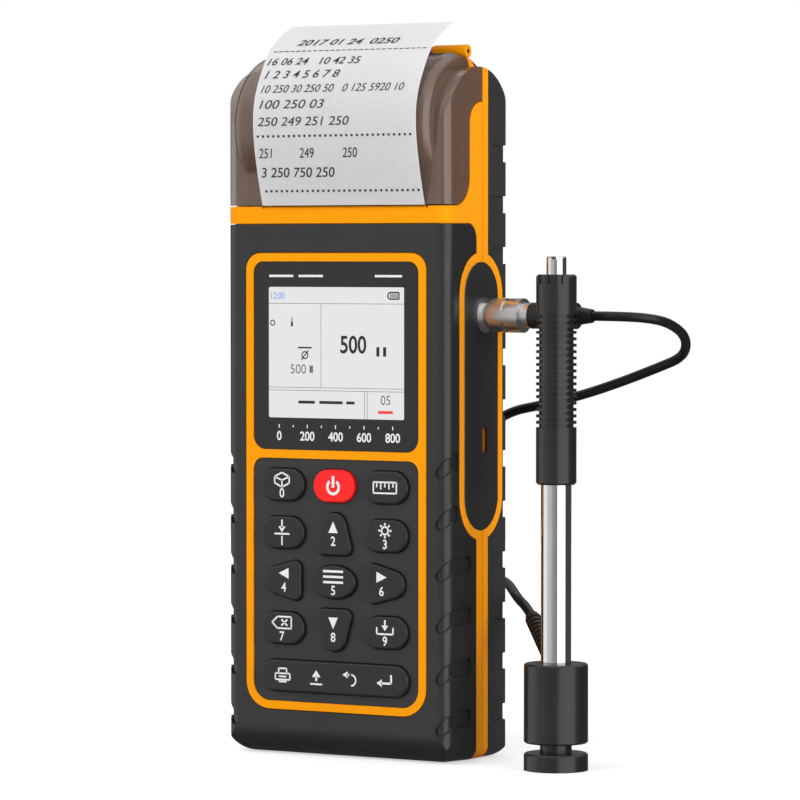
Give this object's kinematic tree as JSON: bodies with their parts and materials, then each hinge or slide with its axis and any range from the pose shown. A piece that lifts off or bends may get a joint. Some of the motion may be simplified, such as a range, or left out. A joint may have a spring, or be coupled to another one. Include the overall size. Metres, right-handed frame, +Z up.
{
  "type": "leeb hardness tester",
  "caption": "Handheld rebound hardness tester with a screen, keys and a top paper printer, and an impact device that stands beside it on a lead.",
  "frame": {"origin": "middle of the case's underside, on the seam between the two half shells, on the surface that it stands on", "axes": "+X to the user's right, +Y away from the user, from the screen to the back, +Z up"},
  "size_m": [0.1432, 0.0935, 0.2262],
  "materials": {
    "case": "satin orange",
    "grip": "soft matt dark grey",
    "insert": "matt black",
    "window": "dark grey panel",
    "screen": "pale screen behind a clear sheet",
    "key_panel": "matt dark grey",
    "key_cap": "satin dark grey with white marks",
    "power_key": "satin red with a white mark",
    "contact_mat": "matt grey",
    "circuit_board": "green laminate",
    "battery_wrap": "blue shrink wrap",
    "smoked_cover": "smoked brown clear plastic",
    "inner_plastic": "matt black",
    "gear_plastic": "white",
    "roller_rubber": "ground rubber",
    "paper": "white thermal paper",
    "steel": "bright steel",
    "plated": "bright nickel plate",
    "chrome": "polished chrome",
    "sleeve": "black anodised",
    "winding": "copper winding",
    "lead_skin": "smooth black jacket"
  },
  "bodies": {
    "tester": {"front_shell": "case", "rear_shell": "case", "front_overmould": "grip", "rear_overmould": "grip", "right_side_insert": "insert", "left_side_insert": "insert", "display_window": "window", "lcd_module": "screen", "keypad_panel": "key_panel", "keypad_mat": "contact_mat", "main_board": "circuit_board", "power_board": "circuit_board", "service_port": "steel", "probe_socket": "plated", "socket_nut": "steel", "battery_pack": "battery_wrap", "case_screws": "steel", "door_hinge_pin": "steel", "printer_works": "inner_plastic", "print_head": "steel", "stepper_motor": "steel", "plug_body": "plated", "plug_boot": "lead_skin", "lead_upper": "lead_skin", "lead_lower": "lead_skin", "lead_coil": "lead_skin", "lead_boot": "lead_skin", "support_ring": "sleeve", "coil_housing": "sleeve", "sensing_coil": "winding", "guide_tube": "chrome", "loading_spring": "steel"},
    "door": {"printer_door": "smoked_cover", "paper_strip": "paper"},
    "platen": {"platen_shaft": "steel", "platen_roller": "roller_rubber", "platen_gear": "gear_plastic"},
    "idler": {"idler_gear": "gear_plastic"},
    "pinion": {"motor_pinion": "steel"},
    "roll": {"paper_roll": "paper", "roll_spindle": "gear_plastic"},
    "latch": {"plug_latch": "plated"},
    "sleeve": {"loading_sleeve": "sleeve", "catch_chuck": "steel", "impact_spring": "steel"},
    "button": {"release_button": "chrome"},
    "impactor": {"impact_body": "steel"},
    "key_0_cap": {"key_0": "key_cap"},
    "key_power_cap": {"key_power": "power_key"},
    "key_unit_cap": {"key_unit": "key_cap"},
    "key_1_cap": {"key_1": "key_cap"},
    "key_2_up_cap": {"key_2_up": "key_cap"},
    "key_3_light_cap": {"key_3_light": "key_cap"},
    "key_4_left_cap": {"key_4_left": "key_cap"},
    "key_5_menu_cap": {"key_5_menu": "key_cap"},
    "key_6_right_cap": {"key_6_right": "key_cap"},
    "key_7_cap": {"key_7": "key_cap"},
    "key_8_down_cap": {"key_8_down": "key_cap"},
    "key_9_cap": {"key_9": "key_cap"},
    "key_bar_cap": {"key_bar": "key_cap"}
  },
  "joints": [
    {"name": "door_hinge", "type": "hinge", "parent": "tester", "child": "door", "pos_m": [0, 0, 0.2174], "axis": [-1, 0, 0], "range_deg": [0, 110]},
    {"name": "roll_spin", "type": "hinge", "parent": "tester", "child": "roll", "pos_m": [0, -0.0035, 0.1945], "axis": [1, 0, 0], "continuous": true},
    {"name": "platen_spin", "type": "hinge", "parent": "door", "child": "platen", "pos_m": [0, -0.0145, 0.1736], "axis": [1, 0, 0], "continuous": true},
    {"name": "idler_spin", "type": "hinge", "parent": "tester", "child": "idler", "pos_m": [0, -0.00642, 0.16754], "axis": [1, 0, 0], "continuous": true},
    {"name": "pinion_spin", "type": "hinge", "parent": "tester", "child": "pinion", "pos_m": [0, 0.00046, 0.16238], "axis": [1, 0, 0], "continuous": true},
    {"name": "plug_latch_slide", "type": "slide", "parent": "tester", "child": "latch", "axis": [1, 0, 0], "range_m": [0, 0.0015], "stiffness_N_per_m": 800, "springref_m": -0.001},
    {"name": "sleeve_slide", "type": "slide", "parent": "tester", "child": "sleeve", "axis": [0, 0, -1], "range_m": [0, 0.03], "stiffness_N_per_m": 150, "springref_m": -0.006, "deforming": ["loading_spring"]},
    {"name": "button_press", "type": "slide", "parent": "sleeve", "child": "button", "axis": [0, 0, -1], "range_m": [0, 0.0025], "stiffness_N_per_m": 600, "springref_m": -0.001},
    {"name": "impact_slide", "type": "slide", "parent": "tester", "child": "impactor", "axis": [0, 0, 1], "range_m": [0, 0.03]},
    {"name": "key_0_press", "type": "slide", "parent": "tester", "child": "key_0_cap", "axis": [0, 1, 0], "range_m": [0, 0.0012], "stiffness_N_per_m": 700, "springref_m": -0.0005},
    {"name": "key_power_press", "type": "slide", "parent": "tester", "child": "key_power_cap", "axis": [0, 1, 0], "range_m": [0, 0.0012], "stiffness_N_per_m": 700, "springref_m": -0.0005},
    {"name": "key_unit_press", "type": "slide", "parent": "tester", "child": "key_unit_cap", "axis": [0, 1, 0], "range_m": [0, 0.0012], "stiffness_N_per_m": 700, "springref_m": -0.0005},
    {"name": "key_1_press", "type": "slide", "parent": "tester", "child": "key_1_cap", "axis": [0, 1, 0], "range_m": [0, 0.0012], "stiffness_N_per_m": 700, "springref_m": -0.0005},
    {"name": "key_2_up_press", "type": "slide", "parent": "tester", "child": "key_2_up_cap", "axis": [0, 1, 0], "range_m": [0, 0.0012], "stiffness_N_per_m": 700, "springref_m": -0.0005},
    {"name": "key_3_light_press", "type": "slide", "parent": "tester", "child": "key_3_light_cap", "axis": [0, 1, 0], "range_m": [0, 0.0012], "stiffness_N_per_m": 700, "springref_m": -0.0005},
    {"name": "key_4_left_press", "type": "slide", "parent": "tester", "child": "key_4_left_cap", "axis": [0, 1, 0], "range_m": [0, 0.0012], "stiffness_N_per_m": 700, "springref_m": -0.0005},
    {"name": "key_5_menu_press", "type": "slide", "parent": "tester", "child": "key_5_menu_cap", "axis": [0, 1, 0], "range_m": [0, 0.0012], "stiffness_N_per_m": 700, "springref_m": -0.0005},
    {"name": "key_6_right_press", "type": "slide", "parent": "tester", "child": "key_6_right_cap", "axis": [0, 1, 0], "range_m": [0, 0.0012], "stiffness_N_per_m": 700, "springref_m": -0.0005},
    {"name": "key_7_press", "type": "slide", "parent": "tester", "child": "key_7_cap", "axis": [0, 1, 0], "range_m": [0, 0.0012], "stiffness_N_per_m": 700, "springref_m": -0.0005},
    {"name": "key_8_down_press", "type": "slide", "parent": "tester", "child": "key_8_down_cap", "axis": [0, 1, 0], "range_m": [0, 0.0012], "stiffness_N_per_m": 700, "springref_m": -0.0005},
    {"name": "key_9_press", "type": "slide", "parent": "tester", "child": "key_9_cap", "axis": [0, 1, 0], "range_m": [0, 0.0012], "stiffness_N_per_m": 700, "springref_m": -0.0005},
    {"name": "key_bar_press", "type": "slide", "parent": "tester", "child": "key_bar_cap", "axis": [0, 1, 0], "range_m": [0, 0.0012], "stiffness_N_per_m": 700, "springref_m": -0.0005}
  ],
  "couplings": [
    {"joint": "platen_spin", "follows": "roll_spin", "ratio": 4.25},
    {"joint": "idler_spin", "follows": "roll_spin", "ratio": -2.8333},
    {"joint": "pinion_spin", "follows": "roll_spin", "ratio": 6.8}
  ]
}
